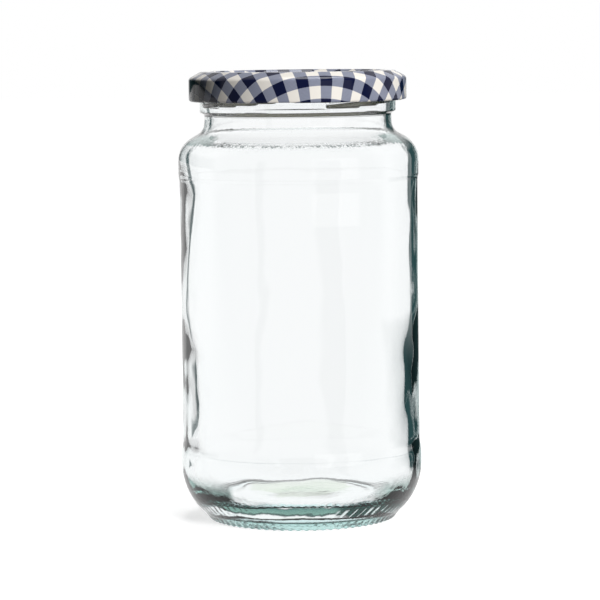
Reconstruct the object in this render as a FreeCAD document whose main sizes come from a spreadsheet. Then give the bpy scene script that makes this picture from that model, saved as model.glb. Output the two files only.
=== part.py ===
"""A straight-sided glass preserving jar with a twist-off lid, in millimetres, +Z up.

The origin is the centre of the ring that the jar stands on.  Three solids make it up:
the blown glass jar with its knurled foot and its thread leads, the pressed tinplate lid
with its rolled edge and lugs, and the sealing ring that is flowed into the lid's channel.
"""
import FreeCAD, Part
import math
import os
import Sketcher

# Every size that can be chosen by itself.  The rest follows from these by expressions.
SIZES = {
    # Glass, outside.  The body stands out from the neck by the width of the shoulder.
    "jar_height": 150.0,          # foot to the sealing face of the rim
    "neck_radius": 31.5,
    "shoulder_width": 9.0,        # neck out to the upper bumper band
    "heel_band_flare": 0.3,       # the lower bumper band is this much wider than the upper
    "finish_height": 16.4,        # foot of the neck up to the rim
    "shoulder_height": 12.4,
    "shoulder_round": 9.2,
    "upper_band_height": 5.2,
    "lower_band_height": 5.4,
    "panel_sink": 0.3,            # the label panel lies this far inside the upper band
    "panel_step": 0.9,            # height over which it sinks
    "heel_height": 19.0,
    "toe_height": 1.7,            # where the heel's sweep meets the foot
    "toe_width": 1.2,
    "toe_round": 1.0,
    "foot_radius": 31.4,          # outer edge of the ring that it stands on
    "foot_width": 2.4,
    "push_up": 3.2,               # hollow under the base
    "push_flat_radius": 20.0,
    "push_round": 5.0,
    # Glass, inside.
    "body_wall": 3.1,
    "neck_wall": 2.3,
    "inner_heel_height": 13.5,    # floor up to the straight wall
    "floor_edge_radius": 26.5,
    "floor_height": 6.3,
    "floor_crown": 0.9,           # the floor rises to its middle
    "bore_lift": 0.8,             # the straight bore starts above the foot of the neck
    "inner_neck_round": 8.0,
    # Glass finish.
    "bead_depth": 1.5,            # bead and threaded wall outside the neck
    "bead_slope": 0.8,
    "bead_drop": 13.2,            # rim down to the underside of the bead
    "bead_round": 0.45,
    "lip_round": 1.2,
    "lead_count": 4.0,
    "lead_depth": 1.5,            # a lead stands this far out of the threaded wall
    "lead_round": 1.0,
    "lead_span": 78.0,            # degrees from end to end
    "lead_start": -75.0,          # degrees, counted from +X
    "lead_drop": 9.55,            # rim down to the low end of a lead
    "lead_rise": 3.4,             # low end up to high end
    # Knurling of the foot.
    "knurl_count": 72.0,
    "knurl_round": 0.8,
    "knurl_depth": 0.35,
    "knurl_margin": 0.6,          # the notches run on past both sides of the ring
    # Tinplate lid.
    "tin": 0.25,
    "lid_height": 10.05,
    "lug_clearance": 0.45,        # threaded wall to the tip of a lug
    "lug_reach": 1.4,             # tip of a lug to the inside of the rolled edge
    "lug_width": 13.0,            # degrees
    "lug_thickness": 0.55,
    "lug_lift": 0.25,             # bottom of the lid to the underside of a lug
    "lug_turn": 66.0,             # degrees from the low end of a lead to the middle of a lug
    "roll_width": 1.8,
    "roll_round": 0.7,
    "roll_height": 1.7,
    "skirt_height": 6.7,          # bottom of the lid to the bend over the skirt
    "skirt_round": 1.8,
    "chamfer_width": 3.7,         # skirt in to the crest
    "crest_width": 3.6,
    "crest_round": 0.6,
    "panel_slope": 1.3,           # crest in to the foot of the centre panel
    "panel_drop": 1.1,
    # Sealing ring.
    "seal_thickness": 1.0,        # rim to the underside of the crest
    "seal_margin": 0.35,          # edges of the seal to the bends of the crest
    "seal_round": 0.3,
}

document = FreeCAD.newDocument("preserving_jar")
sheet = document.addObject("Spreadsheet::Sheet", "Sizes")
for row, (alias, size) in enumerate(SIZES.items(), start=1):
    sheet.set(f"A{row}", alias)
    sheet.set(f"B{row}", str(size))
    sheet.setAlias(f"B{row}", alias)
document.recompute()

# Places that several pieces share, as sums of sizes.
BODY = "neck_radius + shoulder_width"
HEEL_BAND = f"{BODY} + heel_band_flare"
PANEL = f"{BODY} - panel_sink"
INNER_BODY = f"{BODY} - body_wall"
BORE = "neck_radius - neck_wall"
THREADED = "neck_radius + bead_depth"
NECK_FOOT = "jar_height - finish_height"
SHOULDER_FOOT = f"{NECK_FOOT} - shoulder_height"
PANEL_BOTTOM = "heel_height + lower_band_height"
PANEL_TOP = f"{SHOULDER_FOOT} - upper_band_height"
BEAD_BOTTOM = "jar_height - bead_drop"
LUG_TIP = f"{THREADED} + lug_clearance"
SKIRT = f"{LUG_TIP} + lug_reach + roll_width"
CREST_OUTER = f"{SKIRT} - chamfer_width"
CREST_INNER = f"{CREST_OUTER} - crest_width"
LID_TOP = "jar_height + seal_thickness + tin"
LID_BOTTOM = f"{LID_TOP} - lid_height"
SEAL_INNER = f"{CREST_INNER} + seal_margin"
SEAL_OUTER = f"{CREST_OUTER} - seal_margin"
ROLL_INNER = f"{SKIRT} - roll_width"

# Along a thread lead: share of its length, and how full the ridge is there.
LEAD_STATIONS = ((0.0, 0.3), (0.1, 0.75), (0.25, 1.0), (0.5, 1.0), (0.75, 1.0), (0.9, 0.75), (1.0, 0.3))


def reading(terms):
    """The value of a sum of sizes, such as "body + wall - sink", read from the sheet."""
    total = 0.0
    sign = 1.0
    for word in terms.split():
        if word in "+-":
            sign = -1.0 if word == "-" else 1.0
        else:
            total += sign * (getattr(sheet, word) if word in SIZES else float(word))
    return total


def expression(terms):
    """The same sum written for setExpression."""
    return " ".join(f"Sizes.{word}" if word in SIZES else word for word in terms.split())


def origin_item(body, role):
    """The plane or axis of a body's origin that has this role."""
    return next(item for item in body.Origin.OriginFeatures if item.Role == role)


def new_sketch(name, body=None, plane="XZ_Plane", bearing=None):
    """An empty upright sketch, on the XZ plane of the document or on a plane of the body.

    In a body it may be turned about Z, by a bearing in degrees that is given as a formula.
    """
    if not body:
        sketch = document.addObject("Sketcher::SketchObject", name)
        upright = FreeCAD.Rotation(FreeCAD.Vector(1, 0, 0), 90)
        sketch.Placement = FreeCAD.Placement(FreeCAD.Vector(), upright)
        return sketch
    sketch = body.newObject("Sketcher::SketchObject", name)
    sketch.AttachmentSupport = [(origin_item(body, plane), "")]
    sketch.MapMode = "FlatFace"
    if bearing:
        any_turn = FreeCAD.Rotation(FreeCAD.Vector(0, 1, 0), 1.0)    # gives the axis to turn about
        sketch.AttachmentOffset = FreeCAD.Placement(FreeCAD.Vector(), any_turn)
        sketch.setExpression("AttachmentOffset.Rotation.Angle", bearing)
    return sketch


def drive(sketch, name, terms, kind, *places):
    """Add a dimension that a sum of sizes drives.  Its expression goes in with settle."""
    index = sketch.addConstraint(Sketcher.Constraint(kind, *places, reading(terms)))
    sketch.renameConstraint(index, name)
    return name, terms


def settle(sketch, driven):
    """Bind the dimensions of a finished sketch to the sheet, and check that none is loose."""
    for name, terms in driven:
        sketch.setExpression(f"Constraints.{name}", expression(terms))
    document.recompute()
    if not sketch.FullyConstrained:
        raise RuntimeError(f"sketch {sketch.Name} is not fully constrained")


def upright_arc(start, stop, upright):
    """The arc from start to stop that is upright at one of them."""
    other = stop if upright == start else start
    step = other - upright
    radius = step.Length ** 2 / (2.0 * abs(step.x))
    centre = upright + FreeCAD.Vector(math.copysign(radius, step.x), 0, 0)
    middle = (start + stop) / 2.0 - centre
    return Part.Arc(start, centre + middle.normalize() * radius, stop)


def trace(sketch, route, closed=True):
    """Draw an outline along a route of corners, with every size of it driven.

    A corner is (across, up), or (across, up, size of its rounding), each a sum of sizes.
    Lines join the corners, apart from three curves.  "rising" is an arc that ends upright,
    tangent to the line after it.  "falling" is an arc that starts upright, tangent to the
    line before it.  "ess SIZE" is two arcs upright at both outer ends, the first of which
    has that radius.
    """
    corners = [item for item in route if isinstance(item, tuple)]
    points = [FreeCAD.Vector(reading(across), reading(up), 0) for across, up, *_ in corners]
    curves = []                   # (geometry, its first end, its last end, tangent to the last)
    outgoing = {}                 # corner number to the place of the curve that leaves it
    driven = []

    def draw(shape, start, tangent):
        geometry = sketch.addGeometry(shape, False)
        forward = sketch.getPoint(geometry, 1).isEqual(start, 1e-7)
        curves.append((geometry, 1 if forward else 2, 2 if forward else 1, tangent))

    number = -1
    after_arc = False
    for place, item in enumerate(route):
        if isinstance(item, tuple):
            number += 1
            if place + 1 == len(route) and not closed:
                break
            if place + 1 < len(route) and isinstance(route[place + 1], str):
                continue
            kind = "line"
        else:
            kind = item
        start = points[number]
        stop = points[(number + 1) % len(points)]
        outgoing[number] = len(curves)
        if kind == "line":
            draw(Part.LineSegment(start, stop), start, after_arc)
        elif kind == "rising":
            draw(upright_arc(start, stop, stop), start, False)
        elif kind == "falling":
            draw(upright_arc(start, stop, start), start, True)
        else:
            radius = kind.split()[1]
            step = stop - start
            share = reading(radius) * 2.0 * abs(step.x) / step.Length ** 2
            middle = start + step * share
            draw(upright_arc(start, middle, start), start, True)
            driven.append(drive(sketch, f"round_{number}", radius, "Radius", len(curves) - 1))
            draw(upright_arc(middle, stop, stop), middle, True)
        after_arc = kind == "rising" or kind.startswith("ess")

    for place, (geometry, first, _, tangent) in enumerate(curves):
        if place == 0 and not closed:
            continue
        before, _, last, _ = curves[place - 1]
        kind = "Tangent" if tangent else "Coincident"
        sketch.addConstraint(Sketcher.Constraint(kind, before, last, geometry, first))

    for number, (across, up, *_) in enumerate(corners):
        place = outgoing.get(number)
        if place is None:
            geometry, _, end, _ = curves[-1]
        else:
            geometry, end, _, _ = curves[place]
        for letter, kind, axis, terms in (("x", "DistanceX", -2, across), ("y", "DistanceY", -1, up)):
            if terms == "0":
                sketch.addConstraint(Sketcher.Constraint("PointOnObject", geometry, end, axis))
            else:
                name = f"{letter}_{number}"
                driven.append(drive(sketch, name, terms, kind, -1, 1, geometry, end))

    for number, (_, _, *rounding) in enumerate(corners):
        if rounding:
            before = curves[outgoing[number] - 1][0]
            after = curves[outgoing[number]][0]
            near = (points[number - 1] + points[number]) / 2.0
            beyond = (points[number] + points[(number + 1) % len(points)]) / 2.0
            sketch.fillet(before, after, near, beyond, reading(rounding[0]), True, True)
            arc = sketch.GeometryCount - 2
            driven.append(drive(sketch, f"round_{number}", rounding[0], "Radius", arc))
    settle(sketch, driven)


def turned(body, sketch, name):
    """Turn a sketch once round the body's own upright axis."""
    solid = body.newObject("PartDesign::Revolution", name)
    solid.Profile = sketch
    solid.ReferenceAxis = (sketch, ["V_Axis"])
    solid.Angle = 360.0
    return solid


def around(body, feature, name, count):
    """Repeat a feature evenly about Z, as often as the named count says."""
    pattern = body.newObject("PartDesign::PolarPattern", name)
    pattern.Originals = [feature]
    pattern.Axis = (origin_item(body, "Z_Axis"), [""])
    pattern.Angle = 360.0
    pattern.setExpression("Occurrences", f"Sizes.{count}")
    body.Tip = pattern
    document.recompute()


def glass_jar():
    """The blown glass: one turned section, its thread leads and the knurling of its foot."""
    body = document.addObject("PartDesign::Body", "jar")
    section = new_sketch("glass_section", body)
    trace(section, [
        ("0", "push_up"),
        ("push_flat_radius", "push_up", "push_round"),
        ("foot_radius - foot_width", "0"),
        ("foot_radius", "0", "toe_round"),
        ("foot_radius + toe_width", "toe_height"),
        "rising",
        (HEEL_BAND, "heel_height"),
        (HEEL_BAND, PANEL_BOTTOM),
        (PANEL, f"{PANEL_BOTTOM} + panel_step"),
        (PANEL, f"{PANEL_TOP} - panel_step"),
        (BODY, PANEL_TOP),
        (BODY, SHOULDER_FOOT),
        "ess shoulder_round",
        ("neck_radius", NECK_FOOT),
        ("neck_radius", BEAD_BOTTOM, "bead_round"),
        (THREADED, f"{BEAD_BOTTOM} + bead_slope", "bead_round"),
        (THREADED, "jar_height", "lip_round"),
        (BORE, "jar_height", "lip_round"),
        (BORE, f"{NECK_FOOT} + bore_lift"),
        "ess inner_neck_round",
        (INNER_BODY, SHOULDER_FOOT),
        (INNER_BODY, "floor_height + inner_heel_height"),
        "falling",
        ("floor_edge_radius", "floor_height"),
        ("0", "floor_height + floor_crown"),
    ])
    turned(body, section, "blown_glass")
    document.recompute()

    # The foot is knurled by round notches that run outward across the standing ring.
    turn = "180 / Sizes.knurl_count"      # half a pitch, clear of the seam of the glass
    inner = "(Sizes.foot_radius - Sizes.foot_width - Sizes.knurl_margin)"
    notch = new_sketch("knurl_section", body, "YZ_Plane", turn)
    notch.setExpression("AttachmentOffset.Base.x", f"{inner} * sin({turn})")
    notch.setExpression("AttachmentOffset.Base.z", f"{inner} * cos({turn})")
    notch.addGeometry(Part.Circle(
        FreeCAD.Vector(0, reading("knurl_depth - knurl_round"), 0),
        FreeCAD.Vector(0, 0, 1), reading("knurl_round")), False)
    notch.addConstraint(Sketcher.Constraint("PointOnObject", 0, 3, -2))
    driven = [drive(notch, "radius", "knurl_round", "Radius", 0),
              drive(notch, "depth", "knurl_round - knurl_depth", "DistanceY", 0, 3, -1, 1)]
    settle(notch, driven)
    plain = body.Shape.Volume
    knurl = body.newObject("PartDesign::Pocket", "knurl")
    knurl.Profile = notch
    knurl.Type = "Length"
    knurl.setExpression("Length", "Sizes.foot_width + Sizes.toe_width + Sizes.knurl_margin * 2")
    knurl.Reversed = True
    document.recompute()
    if body.Shape.Volume >= plain:
        raise RuntimeError("the knurling cuts nothing")
    around(body, knurl, "knurling", "knurl_count")

    # One lead is a round ridge, lofted along its climb and running out at both ends.
    stations = []
    for number, (along, fullness) in enumerate(LEAD_STATIONS):
        bearing = f"Sizes.lead_start + Sizes.lead_span * {along}"
        ring = new_sketch(f"lead_section_{number}", body, bearing=bearing)
        radius = reading("lead_round") * fullness
        centre = FreeCAD.Vector(
            reading(THREADED) + reading("lead_depth") * fullness - radius,
            reading("jar_height - lead_drop") + reading("lead_rise") * along, 0)
        ring.addGeometry(Part.Circle(centre, FreeCAD.Vector(0, 0, 1), radius), False)
        for kind, places, value, formula in (
                ("Radius", (0,), radius, f"Sizes.lead_round * {fullness}"),
                ("DistanceX", (-1, 1, 0, 3), centre.x,
                 f"{expression(THREADED)} + (Sizes.lead_depth - Sizes.lead_round) * {fullness}"),
                ("DistanceY", (-1, 1, 0, 3), centre.y,
                 f"Sizes.jar_height - Sizes.lead_drop + Sizes.lead_rise * {along}")):
            index = ring.addConstraint(Sketcher.Constraint(kind, *places, value))
            ring.setExpression(f"Constraints[{index}]", formula)
        stations.append(ring)
    document.recompute()
    lead = body.newObject("PartDesign::AdditiveLoft", "thread_lead")
    lead.Profile = stations[0]
    lead.Sections = stations[1:]
    document.recompute()
    around(body, lead, "thread_leads", "lead_count")
    return body


def lid():
    """The lid: a pressed tinplate shell with a rolled edge, and its inward lugs."""
    line = new_sketch("tinplate_line")
    trace(line, [
        ("0", f"{LID_TOP} - panel_drop"),
        (f"{CREST_INNER} - panel_slope", f"{LID_TOP} - panel_drop", "crest_round"),
        (CREST_INNER, LID_TOP, "crest_round"),
        (CREST_OUTER, LID_TOP, "crest_round"),
        (SKIRT, f"{LID_BOTTOM} + skirt_height", "skirt_round"),
        (SKIRT, LID_BOTTOM, "roll_round"),
        (ROLL_INNER, LID_BOTTOM, "roll_round"),
        (ROLL_INNER, f"{LID_BOTTOM} + roll_height"),
    ], closed=False)
    strip = document.addObject("Part::Offset2D", "tinplate_strip")
    strip.Source = line
    strip.setExpression("Value", "-Sizes.tin")
    strip.Mode = "Skin"           # on one side of the line only
    strip.Fill = True
    pressed = document.addObject("Part::Revolution", "pressed_shell")
    pressed.Source = strip
    pressed.Axis = FreeCAD.Vector(0, 0, 1)
    pressed.Angle = 360.0
    pressed.Solid = True
    document.recompute()

    # A lug is a short thick tongue that the rolled edge sends in under each thread lead.
    body = document.addObject("PartDesign::Body", "lid")
    body.BaseFeature = pressed
    document.recompute()
    tongue = new_sketch("lug_section", body, bearing="Sizes.lead_start + Sizes.lug_turn")
    trace(tongue, [
        (LUG_TIP, f"{LID_BOTTOM} + lug_lift"),
        (f"{ROLL_INNER} + tin", f"{LID_BOTTOM} + lug_lift"),
        (f"{ROLL_INNER} + tin", f"{LID_BOTTOM} + lug_lift + lug_thickness"),
        (LUG_TIP, f"{LID_BOTTOM} + lug_lift + lug_thickness"),
    ])
    lug = turned(body, tongue, "lug")
    lug.Midplane = True
    lug.setExpression("Angle", "Sizes.lug_width")
    document.recompute()
    around(body, lug, "lugs", "lead_count")
    return body


def seal():
    """The sealing ring, held between the rim of the glass and the crest of the lid."""
    body = document.addObject("PartDesign::Body", "seal")
    section = new_sketch("seal_section", body)
    trace(section, [
        (SEAL_INNER, "jar_height", "seal_round"),
        (SEAL_OUTER, "jar_height", "seal_round"),
        (SEAL_OUTER, "jar_height + seal_thickness"),
        (SEAL_INNER, "jar_height + seal_thickness"),
    ])
    turned(body, section, "sealing_ring")
    document.recompute()
    return body


parts = [glass_jar(), lid(), seal()]
document.recompute()

for item in document.Objects:
    if {"Invalid", "Error"} & set(item.State):
        raise RuntimeError(f"{item.Name} failed: {item.State}")
os.makedirs("parts", exist_ok=True)
for part in parts:
    shape = part.Shape
    if shape.isNull() or not shape.isValid() or len(shape.Solids) != 1:
        raise RuntimeError(f"{part.Label} is not one valid solid")
    shape.exportStep(f"parts/{part.Label}.step")
    print(f"{part.Label}: {shape.Volume / 1000:.1f} cm3, {len(shape.Faces)} faces")
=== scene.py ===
"""A straight-sided glass preserving jar with a gingham twist-off lid, in metres."""
import math

import bpy
import numpy as np
from mathutils import Matrix, Vector


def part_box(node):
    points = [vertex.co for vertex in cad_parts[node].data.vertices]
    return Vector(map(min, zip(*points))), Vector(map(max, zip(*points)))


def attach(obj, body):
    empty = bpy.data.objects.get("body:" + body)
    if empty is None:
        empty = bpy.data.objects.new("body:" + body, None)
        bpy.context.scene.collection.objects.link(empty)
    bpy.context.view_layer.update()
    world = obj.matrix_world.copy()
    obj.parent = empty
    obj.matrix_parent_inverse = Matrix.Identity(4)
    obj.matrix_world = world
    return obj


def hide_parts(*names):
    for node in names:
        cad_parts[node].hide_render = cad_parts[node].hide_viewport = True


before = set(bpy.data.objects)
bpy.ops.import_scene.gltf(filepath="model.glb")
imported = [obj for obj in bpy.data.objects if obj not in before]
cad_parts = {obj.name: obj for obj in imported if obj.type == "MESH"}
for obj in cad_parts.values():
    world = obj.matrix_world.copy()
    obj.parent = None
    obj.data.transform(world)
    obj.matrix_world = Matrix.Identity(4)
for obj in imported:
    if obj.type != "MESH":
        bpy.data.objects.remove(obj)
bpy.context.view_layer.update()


# Camera ---------------------------------------------------------------------------------
# A long lens about a metre in front of the jar, a little above its lid and tipped down,
# held a fraction of a degree off level.
camera_distance = 0.968
camera_height = 0.1656
tipped_down = 5.42
off_level = -0.674
camera_data = bpy.data.cameras.new("camera")
camera_data.sensor_width = 36.0
camera_data.lens = 172.3
camera_data.clip_start = 0.05
camera_data.clip_end = 50.0
camera = bpy.data.objects.new("camera", camera_data)
bpy.context.collection.objects.link(camera)
tip = Matrix.Rotation(math.radians(90.0 - tipped_down), 4, "X")
roll = Matrix.Rotation(math.radians(off_level), 4, "Z")
camera.matrix_world = Matrix.Translation((0.0, -camera_distance, camera_height)) @ tip @ roll
bpy.context.scene.camera = camera
bpy.context.scene.view_settings.view_transform = "Standard"


# Glass jar ------------------------------------------------------------------------------
# Clear soda-lime glass, pressed and blown in a two-part mould, so the outside is true and
# the inside wall wanders.  The foot is knurled and the mouth carries four thread leads.
mm = 0.001
jar_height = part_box("jar")[1].z
neck = 31.5 * mm
threaded = neck + 1.5 * mm
bore = neck - 2.3 * mm
lip = 1.2 * mm
bead_foot = jar_height - 13.2 * mm
bead_full = jar_height - 12.4 * mm
neck_foot = jar_height - 16.4 * mm
shoulder_foot = neck_foot - 12.4 * mm
shoulder_turn = 9.2 * mm
body = 40.5 * mm
panel = 40.2 * mm
panel_foot = 26.6 * mm
panel_top = 114.6 * mm
heel_band = 40.8 * mm
heel_height = 19.0 * mm
foot = 31.4 * mm
foot_inner = 29.0 * mm
toe_width = 1.2 * mm
toe_height = 1.7 * mm
push_up = 1.7 * mm
push_flat = 20.0 * mm
floor_height = 6.3 * mm
floor_edge = 26.5 * mm
floor_crown = 0.9 * mm
inner_body = 37.4 * mm
inner_heel = floor_height + 13.5 * mm
inner_neck_foot = neck_foot + 0.8 * mm
inner_shoulder_turn = 8.0 * mm
fine_step = 0.05 * mm


def line(start, stop):
    """Points along a straight stretch, start plus a share of the way to stop, laid a
    twentieth of a millimetre apart."""
    count = max(2, int(math.dist(start, stop) / fine_step))
    share = np.linspace(0.0, 1.0, count)[:, None]
    return np.array(start) * (1.0 - share) + np.array(stop) * share


def swing(start, stop, upright):
    """Points along the arc from start to stop whose tangent is upright at one of them.

    Its centre is level with that end, and its radius is the square of the distance between
    the ends over twice their difference in radius."""
    start, stop = np.array(start), np.array(stop)
    level, other = (stop, start) if upright == "stop" else (start, stop)
    step = other - level
    radius = (step ** 2).sum() / (2.0 * step[0])
    centre = level + np.array([radius, 0.0])
    first = math.atan2(*(start - centre)[::-1])
    last = math.atan2(*(stop - centre)[::-1])
    last = first + (last - first + math.pi) % (2.0 * math.pi) - math.pi
    angle = np.linspace(first, last, max(3, int(abs(radius * (last - first)) / fine_step)))
    return centre + abs(radius) * np.column_stack([np.cos(angle), np.sin(angle)])


def ess(start, stop, first_radius):
    """Two arcs in a row, upright at both outer ends, the first of the given radius.

    They meet on the straight line between the ends, at a share of it that is the diameter
    of the first times its width over the square of its length."""
    step = np.array(stop) - np.array(start)
    share = first_radius * 2.0 * abs(step[0]) / (step ** 2).sum()
    middle = tuple(np.array(start) + step * share)
    return np.vstack([swing(start, middle, "start"), swing(middle, stop, "stop")])


def softened(points, reach):
    """The same line with its corners eased by a running mean of the given reach, whose
    weights fall off as a cosine.  Both ends are turned over, so that they stay in place."""
    spacing = np.r_[0.0, np.cumsum(np.hypot(*np.diff(points, axis=0).T))]
    even = np.arange(0.0, spacing[-1], fine_step)
    path = np.column_stack([np.interp(even, spacing, points[:, k]) for k in range(2)])
    width = int(reach / fine_step) | 1
    kernel = np.hanning(width + 2)[1:-1]
    kernel /= kernel.sum()
    before = 2 * path[0] - path[width:0:-1]
    after = 2 * path[-1] - path[-2:-width - 2:-1]
    padded = np.vstack([before, path, after])
    mean = np.column_stack([np.convolve(padded[:, k], kernel, "same") for k in range(2)])
    return mean[width:-width]


def stations(path, count, longest, bend_weight, busy=(0.0, 0.0)):
    """Pick points of a fine line at even steps of a weight, which is the length over the
    longest step, five times that in a busy band of heights, plus the turn times its weight."""
    step = np.diff(path, axis=0)
    length = np.hypot(step[:, 0], step[:, 1])
    heading = np.unwrap(np.arctan2(step[:, 1], step[:, 0]))
    turning = np.abs(np.gradient(heading))
    crowded = 1.0 + 4.0 * ((path[1:, 1] > busy[0]) & (path[1:, 1] < busy[1]))
    weight = np.r_[0.0, np.cumsum(crowded * length / longest + turning * bend_weight)]
    where = np.interp(np.linspace(0.0, weight[-1], count), weight, np.arange(len(weight)))
    index = np.arange(len(path))
    return np.column_stack([np.interp(where, index, column) for column in path.T])


def turned_mesh(name, radius, height, angle, ring=False):
    """A piece from grids of radius and height over (profile, angle).

    Each point lies at (radius cos angle, radius sin angle, height).  The first and last row
    become one pole vertex each.  A ring has no poles, and its last row joins its first."""
    rows, columns = radius.shape
    points = np.stack([radius * np.cos(angle), radius * np.sin(angle), height], axis=-1)
    if ring:
        vertices = points.reshape(-1, 3)
        grid = np.arange(rows * columns).reshape(rows, columns)
        grid = np.vstack([grid, grid[:1]])
    else:
        bottom, top = points[0].mean(axis=0), points[-1].mean(axis=0)
        vertices = np.vstack([bottom[None], points[1:-1].reshape(-1, 3), top[None]])
        grid = 1 + np.arange((rows - 2) * columns).reshape(rows - 2, columns)
    beside = np.roll(grid, -1, axis=1)
    quads = np.stack([grid[:-1], beside[:-1], beside[1:], grid[1:]], axis=-1)
    faces = quads.reshape(-1, 4).tolist()
    if not ring:
        low, high = np.zeros(columns, int), np.full(columns, len(vertices) - 1)
        faces += np.stack([low, beside[0], grid[0]], axis=-1).tolist()
        faces += np.stack([high, grid[-1], beside[-1]], axis=-1).tolist()
    mesh = bpy.data.meshes.new(name)
    mesh.from_pydata(vertices.tolist(), [], faces)
    mesh.shade_smooth()
    piece = bpy.data.objects.new(name, mesh)
    bpy.context.collection.objects.link(piece)
    return piece


def step_up(value, start, stop):
    """Zero before start, one after stop, and between them three times the square of the
    share less twice its cube."""
    share = np.clip((value - start) / (stop - start), 0.0, 1.0)
    return share * share * (3.0 - 2.0 * share)


def within(value, first, full, fading, last):
    """A step up from first to full, times one less the step up from fading to last."""
    return step_up(value, first, full) * (1.0 - step_up(value, fading, last))


# The line above the panel starts 0.4 mm lower than the step before it ends, which folds the
# wall back by a twentieth of a millimetre about 116.2 mm up.
outside = np.vstack([
    line((0.0, push_up), (push_flat, push_up)),
    line((push_flat, push_up), (foot_inner, 0.0)),
    line((foot_inner, 0.0), (foot, 0.0)),
    line((foot, 0.0), (foot + toe_width, toe_height)),
    swing((foot + toe_width, toe_height), (heel_band, heel_height), "stop"),
    line((heel_band, heel_height), (heel_band, panel_foot - 4.0 * mm)),
    line((heel_band, panel_foot - 4.0 * mm), (panel, panel_foot)),
    line((panel, panel_foot), (panel, panel_top)),
    line((panel, panel_top), (body, panel_top + 1.8 * mm)),
    line((body, panel_top + 1.4 * mm), (body, shoulder_foot)),
    ess((body, shoulder_foot), (neck, neck_foot), shoulder_turn),
    line((neck, neck_foot), (neck, bead_foot)),
    line((neck, bead_foot), (threaded, bead_full)),
    line((threaded, bead_full), (threaded, jar_height - lip)),
    swing((threaded, jar_height - lip), (threaded - lip, jar_height), "start"),
    line((threaded - lip, jar_height), (bore + lip, jar_height)),
    swing((bore + lip, jar_height), (bore, jar_height - lip), "stop"),
])
inside = np.vstack([
    line((bore, jar_height - lip), (bore, inner_neck_foot)),
    ess((bore, inner_neck_foot), (inner_body, shoulder_foot), inner_shoulder_turn),
    line((inner_body, shoulder_foot), (inner_body, inner_heel)),
    swing((inner_body, inner_heel), (floor_edge, floor_height), "start"),
    line((floor_edge, floor_height), (0.0, floor_height + floor_crown)),
])

# Corners are eased by a millimetre or two, and by far more where the shoulder meets the neck.
outside_reach, inside_reach, neck_reach = 1.2 * mm, 2.5 * mm, 7.0 * mm
walls = []
for wall, reach in ((outside, outside_reach), (inside, inside_reach)):
    close, calm = softened(wall, reach), softened(wall, neck_reach)
    share = within(close[:, 1:], 124.0 * mm, 129.0 * mm, 134.6 * mm, 136.2 * mm)
    walls.append(close * (1.0 - share) + calm * share)
section = np.vstack(walls)
section[0, 0] = section[-1, 0] = 0.0
leads_band = (jar_height - 11.0 * mm, jar_height - 4.5 * mm)
section = stations(section, count=228, longest=1.9 * mm, bend_weight=7.0, busy=leads_band)
columns = 432
around = np.linspace(0.0, 2.0 * math.pi, columns, endpoint=False)[None]
radius = np.repeat(section[:, :1], columns, axis=1)
height = np.repeat(section[:, 1:], columns, axis=1)
rim_row = int(np.argmax(section[:, 1]))
row = np.arange(len(section))[:, None]
is_outside = row < rim_row + 4

# The foot is knurled by round notches cut across its ring.
knurls = 72
knurl_depth = 0.35 * mm
on_ring = within(radius, 27.6 * mm, 28.8 * mm, 33.2 * mm, 34.6 * mm)
on_ring = on_ring * (1.0 - step_up(height, 1.2 * mm, 2.4 * mm))
notched = (0.5 + 0.5 * np.cos(knurls * around)) ** 0.7

# Four leads climb the threaded wall, full in the middle and running out at both ends.
lead_count = 4
lead_start = -75.0
lead_length = 78.0
lead_foot = jar_height - 9.55 * mm
lead_rise = 3.4 * mm
lead_depth = 1.5 * mm
lead_half = 1.25 * mm
along_lead = np.degrees(around - math.radians(lead_start)) % (360.0 / lead_count) / lead_length
lead_places = [0.0, 0.03, 0.1, 0.25, 0.75, 0.9, 1.0, 1.05, 1.15]
lead_heights = [0.0, 0.4, 0.75, 1.0, 1.0, 0.75, 0.3, 0.0, 0.0]
lead_full = np.interp(along_lead, lead_places, lead_heights)
lead_middle = lead_foot + lead_rise * along_lead
on_wall = (row < rim_row) * (radius > neck)

# A crease runs round the toe, where the bottom plate of the mould met its sides.
crease_height = 3.3 * mm
crease_depth = 0.25 * mm
height = height + on_ring * knurl_depth * notched
crease = np.exp(-((height - crease_height) / (0.4 * mm)) ** 2) * (radius > foot)
radius = radius - crease_depth * crease
from_lead = np.abs(height - lead_middle) / (lead_half * np.maximum(lead_full, 0.2))
lead_round = np.sqrt(np.clip(1.0 - from_lead ** 2, 0.0, 1.0))
radius = radius + on_wall * lead_depth * lead_full * lead_round


def wander(height, angle, longest, shortest, count, seed):
    """A smooth uneven field of height and angle, about one high.

    It is a sum of cosine waves of random heading, whose lengths lie between the longest and
    the shortest, and whose height grows with their length."""
    random = np.random.default_rng(seed)
    field = np.zeros(np.broadcast(height, angle).shape)
    for _ in range(count):
        length = shortest * (longest / shortest) ** random.random()
        heading = random.uniform(0.0, math.pi)
        turns = round(2.0 * math.pi * inner_body * math.cos(heading) / length)
        rise = 2.0 * math.pi * math.sin(heading) / length
        phase = random.uniform(0.0, 2.0 * math.pi)
        field += (length / longest) * np.cos(turns * angle + rise * height + phase)
    return field / field.std()


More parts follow.
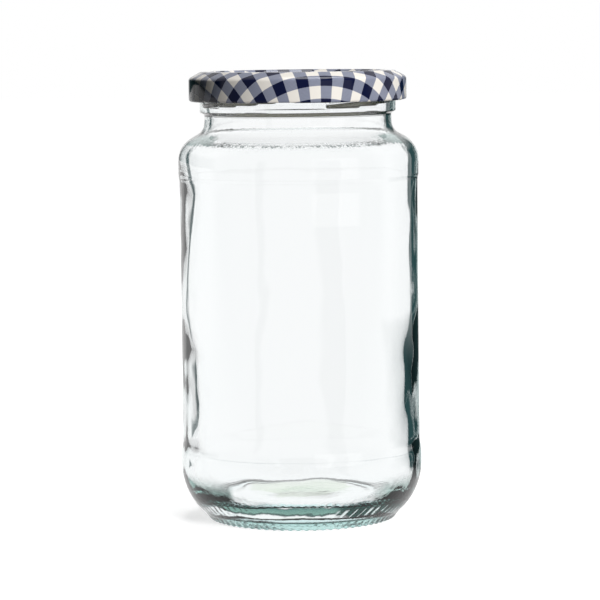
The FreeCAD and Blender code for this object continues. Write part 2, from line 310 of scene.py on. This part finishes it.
# The blown inside wall wanders.  It is thickest low on the right and a third up on the left.
in_body = within(height, 7.0 * mm, 24.0 * mm, 112.0 * mm, 128.0 * mm) * (~is_outside)
in_heel = within(height, 7.5 * mm, 10.0 * mm, 18.0 * mm, 26.0 * mm) * (~is_outside)
left = np.clip(-np.cos(around), 0.0, 1.0) ** 2
right = np.clip(np.cos(around), 0.0, 1.0) ** 2
wall_heights = np.array([8, 22, 32, 43, 55, 62, 70, 80, 93, 110, 120]) * mm
left_extra = np.array([0.2, 0.5, 0.8, 1.4, 0.9, 0.1, -0.3, 0.1, 0.6, 0.9, 0.5]) * mm
right_extra = np.array([0.2, 0.6, 1.0, 1.1, 1.2, 0.9, 0.4, 0.2, 0.4, 0.5, 0.3]) * mm
left_wall = np.interp(height, wall_heights, left_extra)
right_wall = np.interp(height, wall_heights, right_extra)
radius = radius - in_body * (left * left_wall + right * right_wall)
for zone, depth, longest, shortest, waves, seed in (
        (in_body, 0.10 * mm, 60.0 * mm, 14.0 * mm, 40, 3),
        (in_body, 0.016 * mm, 14.0 * mm, 5.0 * mm, 60, 4),
        (in_heel, 0.09 * mm, 30.0 * mm, 7.0 * mm, 60, 6)):
    radius = radius + zone * depth * wander(height, around, longest, shortest, waves, seed)

# The floor is chilled in long waves that run straight across it.
on_floor = (~is_outside) * (1.0 - step_up(height, 8.5 * mm, 14.0 * mm))
wave_steepness = 0.0011
random = np.random.default_rng(5)
for _ in range(24):
    length = random.uniform(9.0, 30.0) * mm
    heading, phase = random.uniform(0.0, 2.0 * math.pi, 2)
    wave = np.cos(2.0 * math.pi * radius * np.cos(around - heading) / length + phase)
    height = height + on_floor * wave_steepness * length * wave

glass_jar = turned_mesh("glass_jar", radius, height, around)
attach(glass_jar, "root")
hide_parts("jar")


def open_nodes(owner):
    """The nodes and the links of a material or a world."""
    owner.use_nodes = True
    return owner.node_tree.nodes, owner.node_tree.links


def feed(socket, value):
    """Link a socket to another one, or write a plain number or colour on it."""
    if isinstance(value, (int, float)):
        socket.default_value = value
    elif isinstance(value, tuple):
        socket.default_value = (*value, 1.0)
    else:
        links.new(value, socket)


def number(value, operation, *others):
    """A Math node fed with sockets or plain numbers."""
    node = nodes.new("ShaderNodeMath")
    node.operation = operation
    for socket, given in zip(node.inputs, (value, *others)):
        feed(socket, given)
    return node.outputs[0]


def product(value, *others):
    """All the given sockets or numbers multiplied, in their order."""
    for other in others:
        value = number(value, "MULTIPLY", other)
    return value


def total(value, *others):
    """All the given sockets or numbers added, in their order."""
    for other in others:
        value = number(value, "ADD", other)
    return value


def eased(value, start, stop, low=0.0, high=1.0, way="SMOOTHSTEP"):
    """A Map Range node that goes from low at start to high at stop, smoothly, or straight
    where the way is LINEAR, and stays level outside."""
    node = nodes.new("ShaderNodeMapRange")
    node.interpolation_type = way
    for name, given in (("Value", value), ("From Min", start), ("From Max", stop),
                        ("To Min", low), ("To Max", high)):
        feed(node.inputs[name], given)
    return node.outputs["Result"]


def blended(share, first, second, mode="MIX"):
    """A mix of two sockets or plain colours: first where the share is nought, and second,
    or first times second, where it is one."""
    node = nodes.new("ShaderNodeMix")
    node.data_type = "RGBA"
    node.blend_type = mode
    for name, given in (("Factor", share), ("A", first), ("B", second)):
        feed(node.inputs[name], given)
    return node.outputs["Result"]


def ramp(value, stops):
    """A Color Ramp node with the given (place, colour) stops."""
    node = nodes.new("ShaderNodeValToRGB")
    elements = node.color_ramp.elements
    for _ in stops[2:]:
        elements.new(1.0)
    for element, (place, shade) in zip(elements, stops):
        element.position = place
        element.color = (*shade, 1.0)
    feed(node.inputs["Fac"], value)
    return node.outputs["Color"]


def noise(vector, scale, detail):
    """A Noise node, from nought to one."""
    node = nodes.new("ShaderNodeTexNoise")
    for name, given in (("Scale", scale), ("Detail", detail), ("Vector", vector)):
        feed(node.inputs[name], given)
    return node.outputs["Fac"]


def bumped(relief, depth, strength):
    """The normal of a surface whose relief stands as deep as given."""
    node = nodes.new("ShaderNodeBump")
    for name, given in (("Height", relief), ("Distance", depth), ("Strength", strength)):
        feed(node.inputs[name], given)
    return node.outputs["Normal"]


def parts(vector):
    """The X, Y and Z of a vector."""
    node = nodes.new("ShaderNodeSeparateXYZ")
    feed(node.inputs["Vector"], vector)
    return [node.outputs[axis] for axis in "XYZ"]


def from_axis(across, along):
    """The distance from the axis of the jar: the root of the sum of both squares."""
    return number(total(product(across, across), product(along, along)), "SQRT")


white = (1.0, 1.0, 1.0)
clear = (0.99, 0.99, 0.995)
painted_line_shade = (0.006, 0.020, 0.017)
toe_green = (0.25, 0.50, 0.45)
pale_green = (0.55, 0.78, 0.74)
foot_tint = (0.45, 0.70, 0.65)
leaf_green = (0.05, 0.16, 0.12)
bottle_green = (0.025, 0.10, 0.08)
deep_green = (0.006, 0.03, 0.025)
dark_edge = (0.0, 0.002, 0.0015)
dark_core = (0.0003, 0.004, 0.003)
ridge_glint = (0.60, 0.70, 0.69)
shoulder_shade_grey = (0.05, 0.075, 0.075)
heel_side_shade_green = (0.08, 0.26, 0.21)
ragged_shade_green = (0.003, 0.018, 0.015)
panel_shade_grey = (0.30, 0.36, 0.38)
seed_grey = (0.25, 0.30, 0.32)
patch_shade_green = (0.02, 0.075, 0.065)
neck_shade_grey = (0.035, 0.060, 0.065)
grazing_shade_green = (0.45, 0.66, 0.64)
floor_olive = (0.72, 0.80, 0.66)
melt_tint = (0.30, 0.80, 0.80)

glass = bpy.data.materials.new("clear_glass")
nodes, links = open_nodes(glass)
shader = nodes["Principled BSDF"]
feed(shader.inputs["Roughness"], 0.0)
feed(shader.inputs["IOR"], 1.52)
feed(shader.inputs["Transmission Weight"], 1.0)
place = nodes.new("ShaderNodeTexCoord").outputs["Object"]
across, along, up = parts(place)
aside = number(across, "ABSOLUTE")
crinkle, swell, fine = [
    number(noise(place, scale, detail), "SUBTRACT", 0.5)
    for scale, detail in ((420.0, 2.0), (110.0, 1.0), (1100.0, 3.0))]

# Thick glass is green where it is looked at along its length.  Round the foot the green is a
# band deepened by painted shade, with a painted dark upper line that climbs at the far left.
band = 12.0 * mm
past_left = number(number(product(across, -50.0), "SUBTRACT", 1.0), "MAXIMUM", 0.0)
lift = product(past_left, past_left, 8.0 * mm)
uneven = total(product(crinkle, 1.6 * mm), product(swell, 1.6 * mm))
uneven_share = number(total(number(up, "SUBTRACT", lift), uneven), "DIVIDE", band)
straight_share = number(total(up, product(crinkle, 0.3 * mm)), "DIVIDE", band)
green_band_and_shade = ramp(uneven_share, (
    (0.0, clear), (0.475, clear), (0.51, painted_line_shade), (0.54, painted_line_shade),
    (0.58, leaf_green), (0.68, bottle_green), (0.73, deep_green), (0.79, clear)))
# Round the toe the green pales, with a painted dark line of shade at the crease.
toe_tint_and_crease_shade = ramp(straight_share, (
    (0.0, toe_green), (0.06, pale_green), (0.21, foot_tint), (0.24, painted_line_shade),
    (0.275, painted_line_shade), (0.31, clear)))

# To the right painted shade makes it nearly black, crossed by slanting painted glints from the
# knurls.
right_shade_and_glints = ramp(uneven_share, (
    (0.0, clear), (0.29, clear), (0.33, dark_edge), (0.70, dark_core),
    (0.76, deep_green), (0.82, clear)))
ridge_slant = -260.0
bearing = number(across, "ARCTAN2", product(along, -1.0))
ridge = total(product(bearing, knurls / (2.0 * math.pi)), product(up, ridge_slant))
ridge = eased(total(number(ridge, "FRACT"), product(swell, 1.5)), 0.74, 0.86)
ridge = product(ridge, eased(up, 7.6 * mm, 6.6 * mm))
right_shade_and_glints = blended(ridge, right_shade_and_glints, ridge_glint)
rightward = eased(total(across, product(swell, 8.0 * mm)), 9.0 * mm, 15.0 * mm)
colour = blended(rightward, green_band_and_shade, right_shade_and_glints)
colour = blended(1.0, colour, toe_tint_and_crease_shade, "MULTIPLY")

# A crinkled line of painted shade runs round the shoulder.
shoulder_line = 127.4 * mm
from_line = total(number(up, "SUBTRACT", shoulder_line),
                  product(fine, 2.6 * mm), product(swell, 1.0 * mm))
broken = total(swell, product(fine, 1.5), product(aside, 5.0))
on_line = product(eased(number(from_line, "ABSOLUTE"), 0.65 * mm, 0.05 * mm),
                  eased(broken, -0.15, 0.2, 0.3, 0.95))
colour = blended(on_line, colour, shoulder_shade_grey)

# The sides of the heel are green too, deepened by painted shade, with ragged streaks of it.
uneven_up = total(up, uneven)
shaded_heel_sides = product(eased(total(aside, product(swell, 12.0 * mm)), 22.0 * mm, 28.0 * mm),
                    eased(uneven_up, 7.8 * mm, 8.8 * mm),
                    eased(uneven_up, 18.0 * mm, 12.0 * mm))
ragged = product(shaded_heel_sides, eased(total(swell, crinkle), 0.0, 0.12))
colour = blended(product(shaded_heel_sides, 0.85), colour, heel_side_shade_green)
colour = blended(product(ragged, 0.9), colour, ragged_shade_green)

# The lower edge of the panel shows as a fine line of painted shade, and a few seeds hang in
# the wall.
panel_line = 23.9 * mm
from_panel = total(number(up, "SUBTRACT", panel_line), product(swell, 0.5 * mm))
panel_shade_line = product(eased(number(from_panel, "ABSOLUTE"), 0.26 * mm, 0.06 * mm),
                     eased(swell, -0.15, 0.15, 0.1, 0.4))
colour = blended(panel_shade_line, colour, panel_shade_grey)
seeds = nodes.new("ShaderNodeTexVoronoi")
feed(seeds.inputs["Scale"], 130.0)
feed(seeds.inputs["Vector"], place)
few = nodes.new("ShaderNodeSeparateColor")
feed(few.inputs["Color"], seeds.outputs["Color"])
seed = product(eased(seeds.outputs["Distance"], 0.075, 0.045),
               number(few.outputs["Red"], "GREATER_THAN", 0.93))
colour = blended(product(seed, 0.5), colour, seed_grey)

# Painted green shade gathers at both ends of the shoulder, at the sides of the neck and on
# grazing walls.
patch = product(eased(total(aside, product(crinkle, 10.0 * mm)), 25.0 * mm, 28.0 * mm),
                eased(from_line, 3.4 * mm, 2.4 * mm), eased(from_line, -0.6 * mm, 0.2 * mm),
                eased(number(along, "ABSOLUTE"), 29.0 * mm, 23.0 * mm))
colour = blended(product(patch, 0.85), colour, patch_shade_green)
edge_on = nodes.new("ShaderNodeLayerWeight")
feed(edge_on.inputs["Blend"], 0.5)
facing = edge_on.outputs["Facing"]
on_neck = product(eased(up, 132.5 * mm, 134.5 * mm), eased(up, 143.5 * mm, 141.5 * mm),
                  eased(facing, 0.50, 0.62), eased(total(crinkle, fine), -0.05, 0.08))
colour = blended(product(on_neck, 0.75), colour, neck_shade_grey)
grazing = product(eased(facing, 0.55, 1.0), eased(across, -20.0 * mm, 20.0 * mm, 0.3, 0.9),
                  eased(up, 7.0 * mm, 12.0 * mm))
colour = blended(grazing, colour, grazing_shade_green)

# These greens and painted shades lie on the first face that is looked at.  Behind it only the
# floor is tinted.
from_middle = total(from_axis(across, along), product(swell, 14.0 * mm))
on_disc = product(eased(from_middle, 20.0 * mm, 16.5 * mm),
                  eased(up, 5.5 * mm, 6.2 * mm), eased(up, 9.5 * mm, 8.6 * mm))
behind = blended(on_disc, white, floor_olive)
first_face = nodes.new("ShaderNodeLightPath").outputs["Is Camera Ray"]
feed(shader.inputs["Base Color"], blended(first_face, behind, colour))
in_mould = total(eased(up, 20.0 * mm, 9.0 * mm), product(
    eased(up, 121.0 * mm, 126.0 * mm), eased(up, 137.0 * mm, 132.0 * mm)))
ripples = bumped(total(crinkle, swell), 0.05 * mm, product(in_mould, 0.6))
feed(shader.inputs["Normal"], ripples)
melt = nodes.new("ShaderNodeVolumeAbsorption")
feed(melt.inputs["Color"], melt_tint)
feed(melt.inputs["Density"], 6.0)
feed(nodes["Material Output"].inputs["Volume"], melt.outputs["Volume"])
glass_jar.data.materials.append(glass)


# Lid ------------------------------------------------------------------------------------
# A twist-off cap stamped from quarter-millimetre tinplate that was printed flat with a gingham
# and lacquered.  Its edge is rolled inwards, and four lugs are pressed in the roll.
lid_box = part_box("lid")
skirt = lid_box[1].x
lid_bottom, lid_top = lid_box[0].z, lid_box[1].z
tin = 0.25 * mm
centre_panel = (28.05 * mm, lid_top - 1.1 * mm)
crest_inner = (29.35 * mm, lid_top - 0.05 * mm)
crest_outer = (32.6 * mm, lid_top - 0.05 * mm)
chamfer_foot = (skirt - 0.6 * mm, lid_top - 1.9 * mm)
skirt_top = (skirt, lid_top - 2.6 * mm)
roll_depth = 0.85 * mm
lug_count = lead_count
lug_turn = math.radians(66.0 + lead_start)
lug_width = math.radians(13.0)
lug_tip = threaded + 0.45 * mm
lug_lift = 0.25 * mm
lug_thickness = 0.55 * mm


def offset(path, distance):
    """The line at the given distance to the left of a path, square to it at every point."""
    heading = np.gradient(path, axis=0)
    heading /= np.hypot(*heading.T)[:, None]
    return path + distance * np.column_stack([-heading[:, 1], heading[:, 0]])


def circle(centre, radius, first, last):
    """Points along a circle, its centre plus the radius times cosine and sine, from one
    angle to another in degrees, laid about a twentieth of a millimetre apart."""
    count = max(3, int(radius * abs(last - first) / (3.0 * mm)))
    angle = np.radians(np.linspace(first, last, count))
    return np.array(centre) + radius * np.column_stack([np.cos(angle), np.sin(angle)])


roll_centre = (skirt - roll_depth, lid_bottom + roll_depth)
die_reach = 1.5 * mm
die_line = [(0.0, centre_panel[1]), centre_panel, crest_inner, crest_outer, chamfer_foot,
            skirt_top, (skirt, roll_centre[1])]
sheet_outside = softened(np.vstack([
    line(start, stop) for start, stop in zip(die_line, die_line[1:])]), die_reach)
sheet_outside = np.vstack([sheet_outside, circle(roll_centre, roll_depth, 0.0, -300.0)[1:]])
sheet_inside = offset(sheet_outside, -tin)

# The flat sheet is followed from the middle outwards, so that the print stays on the tin.
stretch = 1.02
flat_reach = stretch * np.r_[0.0, np.cumsum(np.hypot(*np.diff(sheet_outside, axis=0).T))]
sheet = np.vstack([
    np.column_stack([sheet_inside, flat_reach, np.zeros(len(sheet_inside))]),
    np.column_stack([sheet_outside, flat_reach, np.ones(len(sheet_outside))])[::-1],
])
sheet[0, 0] = sheet[-1, 0] = 0.0
sheet = stations(sheet, count=210, longest=1.2 * mm, bend_weight=5.0)
columns = 288
around = np.linspace(0.0, 2.0 * math.pi, columns, endpoint=False)[None]
radius, height, flat_radius, on_print = (
    np.repeat(sheet[:, k:k + 1], columns, axis=1) for k in range(4))

# A lug is the roll pressed flat and pushed in towards the threaded wall.
rolled = (height < roll_centre[1] + roll_depth) & (radius < skirt - 0.3 * mm)
pitch = 2.0 * math.pi / lug_count
from_skirt = skirt - radius
from_lug = (around - lug_turn + pitch / 2.0) % pitch - pitch / 2.0
pressed = step_up(lug_width * 0.62 - np.abs(from_lug), 0.0, lug_width * 0.24)
pressed = pressed * rolled * np.clip((from_skirt - 0.25 * mm) / (0.6 * mm), 0.0, 1.0)
pushed = (skirt - lug_tip) / (2.0 * roll_depth)
radius = skirt - from_skirt * (1.0 + pressed * (pushed - 1.0))
flattened = lid_bottom + lug_lift + (height - lid_bottom) * lug_thickness / (2.0 * roll_depth)
height = height + pressed * (flattened - height)
twist_lid = turned_mesh("twist_lid", radius, height, around)
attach(twist_lid, "root")
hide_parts("lid")


def by_vertex(rows):
    """One value per vertex of a turned mesh, from one value per (profile, angle).  A pole
    takes the mean of its row."""
    return np.concatenate([[rows[0].mean()], rows[1:-1].ravel(), [rows[-1].mean()]])


flat_x = by_vertex(flat_radius * np.cos(around))
flat_y = by_vertex(flat_radius * np.sin(around))
corner = np.empty(len(twist_lid.data.loops), dtype=np.int32)
twist_lid.data.loops.foreach_get("vertex_index", corner)
flat_sheet = twist_lid.data.uv_layers.new(name="flat_sheet")
flat_places = np.column_stack([flat_x, flat_y])[corner]
flat_sheet.data.foreach_set("uv", flat_places.astype(np.float32).ravel())
face_side = twist_lid.data.attributes.new("printed_face", "FLOAT", "POINT")
face_side.data.foreach_set("value", by_vertex(on_print).astype(np.float32))

check = 4.2 * mm
print_turn = math.radians(-12.6)
print_shift = (0.315, 0.055, 0.0)
cream = (0.72, 0.685, 0.63)
half_tone = (0.20, 0.215, 0.28)
navy = (0.001, 0.003, 0.028)
# Inside, the cap is gold lacquer, darkened as painted shade for its enclosed underside.
lacquer_in_shade = (0.20, 0.19, 0.12)
tinplate = bpy.data.materials.new("printed_tinplate")
nodes, links = open_nodes(tinplate)
shader = nodes["Principled BSDF"]
feed(shader.inputs["Roughness"], 0.4)
feed(shader.inputs["Specular IOR Level"], 0.0)
feed(shader.inputs["Coat Roughness"], 0.03)
feed(shader.inputs["IOR"], 1.5)
edge_on = nodes.new("ShaderNodeLayerWeight")
feed(edge_on.inputs["Blend"], 0.3)
gloss = eased(edge_on.outputs["Fresnel"], 0.0, 1.0, 0.45, 1.0, "LINEAR")
feed(shader.inputs["Coat Weight"], gloss)
sheet_uv = nodes.new("ShaderNodeUVMap")
sheet_uv.uv_map = "flat_sheet"
turn = nodes.new("ShaderNodeMapping")
turn.inputs["Rotation"].default_value = (0.0, 0.0, print_turn)
turn.inputs["Location"].default_value = print_shift
turn.inputs["Scale"].default_value = (0.5 / check, 0.5 / check, 1.0)
feed(turn.inputs["Vector"], sheet_uv.outputs["UV"])

# Bands of half-tone run both ways, each over half of its repeat, and are navy where they
# cross.  The half-tone shows the threads of the cloth that the print copies.
thread = 0.42 * mm
thread_turns = 2.0 * math.pi * 2.0 * check / thread
bands = []
threads = []
for axis in parts(turn.outputs["Vector"])[:2]:
    near = number(number(number(axis, "FRACT"), "SUBTRACT", 0.5), "ABSOLUTE")
    bands.append(eased(near, 0.256, 0.244, way="LINEAR"))
    threads.append(number(product(axis, thread_turns), "SINE"))
ink = ramp(product(total(*bands), 0.5), ((0.0, cream), (0.5, half_tone), (1.0, navy)))
only_half = number(number(bands[0], "SUBTRACT", bands[1]), "ABSOLUTE")
weave = product(only_half, product(total(*threads), 0.045))
inked = nodes.new("ShaderNodeHueSaturation")
feed(inked.inputs["Value"], number(weave, "MULTIPLY_ADD", 2.6, 1.0))
feed(inked.inputs["Color"], ink)
side = nodes.new("ShaderNodeAttribute")
side.attribute_name = "printed_face"
coat = blended(side.outputs["Fac"], lacquer_in_shade, inked.outputs["Color"])
feed(shader.inputs["Base Color"], coat)
twist_lid.data.materials.append(tinplate)


# Sealing ring -----------------------------------------------------------------------------
# A ring of soft sealing compound, flowed into the channel under the lid's crest and cured
# there.  The rim of the glass beds in it.
seal_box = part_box("seal")
seal_foot, seal_top = seal_box[0].z, seal_box[1].z - 0.06 * mm
seal_outer = seal_box[1].x
seal_width = 2.55 * mm
seal_inner = seal_outer - seal_width
low_round, top_round = 0.3 * mm, 0.12 * mm
ring = np.vstack([
    circle((seal_inner + low_round, seal_foot + low_round), low_round, 180.0, 270.0),
    circle((seal_outer - low_round, seal_foot + low_round), low_round, 270.0, 360.0),
    circle((seal_outer - top_round, seal_top - top_round), top_round, 0.0, 90.0),
    circle((seal_inner + top_round, seal_top - top_round), top_round, 90.0, 180.0),
])
columns = 240
around = np.linspace(0.0, 2.0 * math.pi, columns, endpoint=False)[None]
flow = np.cos(3.0 * around + 0.4) + np.cos(7.0 * around) + np.cos(16.0 * around + 1.0)
from_middle = (ring[:, :1] - (seal_inner + seal_outer) / 2.0) / seal_width
radius = ring[:, :1] + from_middle * (0.03 * mm * flow - 0.1 * mm)
height = np.repeat(ring[:, 1:], columns, axis=1)
sealing_ring = turned_mesh("sealing_ring", radius, height, around, ring=True)
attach(sealing_ring, "root")
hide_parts("seal")

grey_white = (0.70, 0.67, 0.60)
warm_white = (0.82, 0.80, 0.74)
compound = bpy.data.materials.new("sealing_compound")
nodes, links = open_nodes(compound)
shader = nodes["Principled BSDF"]
feed(shader.inputs["Roughness"], 0.45)
cloud = noise(nodes.new("ShaderNodeTexCoord").outputs["Object"], 400.0, 4.0)
shades = blended(cloud, grey_white, warm_white)
feed(shader.inputs["Base Color"], shades)
feed(shader.inputs["Normal"], bumped(cloud, 0.02 * mm, 0.5))
sealing_ring.data.materials.append(compound)


# Floor, backdrop and light ----------------------------------------------------------------
# A plain matt pale floor that runs out to a white surround, under three softboxes: in front
# to the right, overhead and behind.  Dark cards beside the jar give clear glass its edges, and
# only glass and lacquer show them.
bpy.ops.mesh.primitive_plane_add(size=12.0)
floor = bpy.context.object
floor.name = "floor"

cards = bpy.data.node_groups.new("side_cards", "ShaderNodeTree")
for name, way, kind in (
        ("Place", "INPUT", "Vector"), ("Clearance", "INPUT", "Float"),
        ("Card", "OUTPUT", "Float"), ("Front", "OUTPUT", "Float"),
        ("Low", "OUTPUT", "Float"), ("Window", "OUTPUT", "Float"),
        ("Mirrored", "OUTPUT", "Float")):
    cards.interface.new_socket(name, in_out=way, socket_type="NodeSocket" + kind)
nodes, links = cards.nodes, cards.links
given = nodes.new("NodeGroupInput")
result = nodes.new("NodeGroupOutput")
across, along, up = parts(given.outputs["Place"])
aside, ahead = number(across, "ABSOLUTE"), number(along, "ABSOLUTE")
far = from_axis(across, along)

# A card spans the bearings from an inner edge, which lies nearer to straight ahead on the
# right, up to the diagonal.  Past the diagonal, beside the jar, it is faint.
left_edge, right_edge = 0.60, 0.22
beside = 0.15
to_right = number(across, "GREATER_THAN", 0.0)
inner_edge = total(product(to_right, right_edge - left_edge), left_edge)
share = number(number(number(aside, "MINIMUM", ahead), "SUBTRACT", given.outputs["Clearance"]),
               "DIVIDE", number(aside, "MAXIMUM", ahead))
card = product(eased(number(share, "SUBTRACT", inner_edge), 0.0, 0.12),
               eased(share, 0.95, 0.86))
faint = total(product(number(ahead, "GREATER_THAN", aside), 1.0 - beside), beside)
feed(result.inputs["Card"], product(card, faint))

# Mirror faces show the front dimmed but for one window on the right, and hide the cards in
# front and most of those on the left.
front = eased(along, 0.1, -0.3)
feed(result.inputs["Front"], front)
bearing = number(across, "DIVIDE", far)
window = product(eased(bearing, 0.19, 0.25), eased(bearing, 0.88, 0.83),
                 number(along, "LESS_THAN", 0.0))
feed(result.inputs["Window"], window)
left_hidden = 0.75
on_left = product(number(across, "LESS_THAN", 0.0), left_hidden)
hidden = number(front, "MAXIMUM", on_left)
feed(result.inputs["Mirrored"], total(product(hidden, -1.0), 1.0))

# A low card lies on the floor behind the jar, to its right.
low_start = 0.045
beyond = number(number(across, "SUBTRACT", low_start), "DIVIDE", far)
low_card = product(eased(beyond, 0.22, 0.34), eased(far, 0.75, 0.45), eased(along, 0.0, 0.08))
feed(result.inputs["Low"], low_card)


def place_cards(where, clearance):
    """The outputs of the card group for a place, with the cards moved off the axis."""
    node = nodes.new("ShaderNodeGroup")
    node.node_tree = cards
    feed(node.inputs["Place"], where)
    feed(node.inputs["Clearance"], clearance)
    return node.outputs


def rays():
    """Four masks: rays from the camera, rays that glass or lacquer sent on, rays that only
    a mirror face sent on, and rays that have come through one wall of the glass.  A way
    through both walls crosses four faces."""
    path = nodes.new("ShaderNodeLightPath")
    glossy, passed = path.outputs["Is Glossy Ray"], path.outputs["Is Transmission Ray"]
    sent_on = number(passed, "MAXIMUM", glossy)
    mirrored = number(number(glossy, "SUBTRACT", passed), "MAXIMUM", 0.0)
    under_four = number(path.outputs["Transmission Depth"], "LESS_THAN", 3.5)
    one_wall = product(passed, under_four)
    return path.outputs["Is Camera Ray"], sent_on, mirrored, one_wall


def front_dimmed(card, window, mirrored):
    """How far a mirror ray finds the front dimmed: three quarters, and not in the window."""
    dimmed = 0.75
    return product(mirrored, card["Front"], total(product(window, -dimmed), dimmed))


def cards_shown(card, mirrored, one_wall):
    """Which rays meet the cards: all through one wall, and some that are mirrored."""
    return number(one_wall, "MAXIMUM", product(mirrored, card["Mirrored"]))


card_grey = (0.030, 0.072, 0.075)
floor_grey = (0.8, 0.8, 0.8)
black = (0.0, 0.0, 0.0)
window_foot = 1.5
window_top = 0.38
card_clearance = 0.045
paint = bpy.data.materials.new("floor_paint")
nodes, links = open_nodes(paint)
shader = nodes["Principled BSDF"]
feed(shader.inputs["Roughness"], 1.0)
feed(shader.inputs["Specular IOR Level"], 0.0)
where = nodes.new("ShaderNodeTexCoord").outputs["Object"]
card = place_cards(where, card_clearance)
from_camera, sent_on, mirrored, one_wall = rays()
distance = from_axis(*parts(where)[:2])
window = product(card["Window"], number(distance, "GREATER_THAN", window_foot))
shade = product(number(card["Card"], "MAXIMUM", card["Low"]),
                cards_shown(card, mirrored, one_wall))
shade = number(shade, "MAXIMUM", front_dimmed(card, window, mirrored))
away = eased(distance, 0.08, 0.5, 0.62, 1.0, "LINEAR")
feed(shader.inputs["Emission Strength"], total(product(from_camera, away), sent_on))
feed(shader.inputs["Emission Color"], blended(shade, white, card_grey))
feed(shader.inputs["Base Color"], blended(from_camera, black, floor_grey))
floor.data.materials.append(paint)

world = bpy.data.worlds.new("studio")
bpy.context.scene.world = world
nodes, links = open_nodes(world)
background = nodes["Background"]
where = nodes.new("ShaderNodeTexCoord").outputs["Generated"]
card = place_cards(where, 0.0)
from_camera, sent_on, mirrored, one_wall = rays()
across, along, up = parts(where)
near_level = eased(number(up, "ABSOLUTE"), 0.35, 0.2, way="LINEAR")
window = product(card["Window"], number(up, "LESS_THAN", window_top))
shade = product(card["Card"], near_level, cards_shown(card, mirrored, one_wall))

# A low flag behind on the left darkens what the left end of the lid mirrors.
flag_across, flag_along = -0.82, 0.57
towards = number(total(product(across, flag_across), product(along, flag_along)),
                 "DIVIDE", from_axis(across, along))
flag = product(eased(towards, 0.70, 0.85), mirrored, near_level)
shade = product(number(shade, "MAXIMUM", flag), sent_on)
shade = number(shade, "MAXIMUM", front_dimmed(card, window, mirrored))
feed(background.inputs["Color"], blended(shade, white, card_grey))

# What is looked at is white.  Matt surfaces get only a little fill from all round.
fill = 0.02
direct = number(from_camera, "MAXIMUM", sent_on)
filled = total(product(direct, -fill), fill)
feed(background.inputs["Strength"], total(from_camera, sent_on, filled))

# Each softbox has a name, a place, a size, a power in watts and the way that its back points.
# They light the lid, the ring and the floor.  The glass takes its light from the white
# surround, so that no hard bright window lies on it.
lamps = (
    ("key", (0.80, -1.28, 0.43), (0.6, 0.66), 31.0, (0.80, -1.28, 0.12)),
    ("overhead", (0.12, 0.115, 1.2), (0.5, 0.75), 8.0, (0.0, 0.0, 1.0)),
    ("behind", (0.75, 1.6, 0.6), (0.9, 0.9), 12.0, (0.75, 1.6, 0.5)),
)
lit = bpy.data.collections.new("lit_by_lamps")
for piece in (twist_lid, sealing_ring, floor):
    lit.objects.link(piece)
for name, place, size, power, back in lamps:
    lamp = bpy.data.lights.new(name, "AREA")
    lamp.shape = "RECTANGLE"
    lamp.size, lamp.size_y = size
    lamp.energy = power
    softbox = bpy.data.objects.new(name, lamp)
    bpy.context.collection.objects.link(softbox)
    softbox.location = place
    softbox.light_linking.receiver_collection = lit
    softbox.visible_glossy = name == "overhead"
    softbox.visible_transmission = name == "overhead"
    softbox.rotation_mode = "QUATERNION"
    softbox.rotation_quaternion = Vector(back).to_track_quat("Z", "Y")
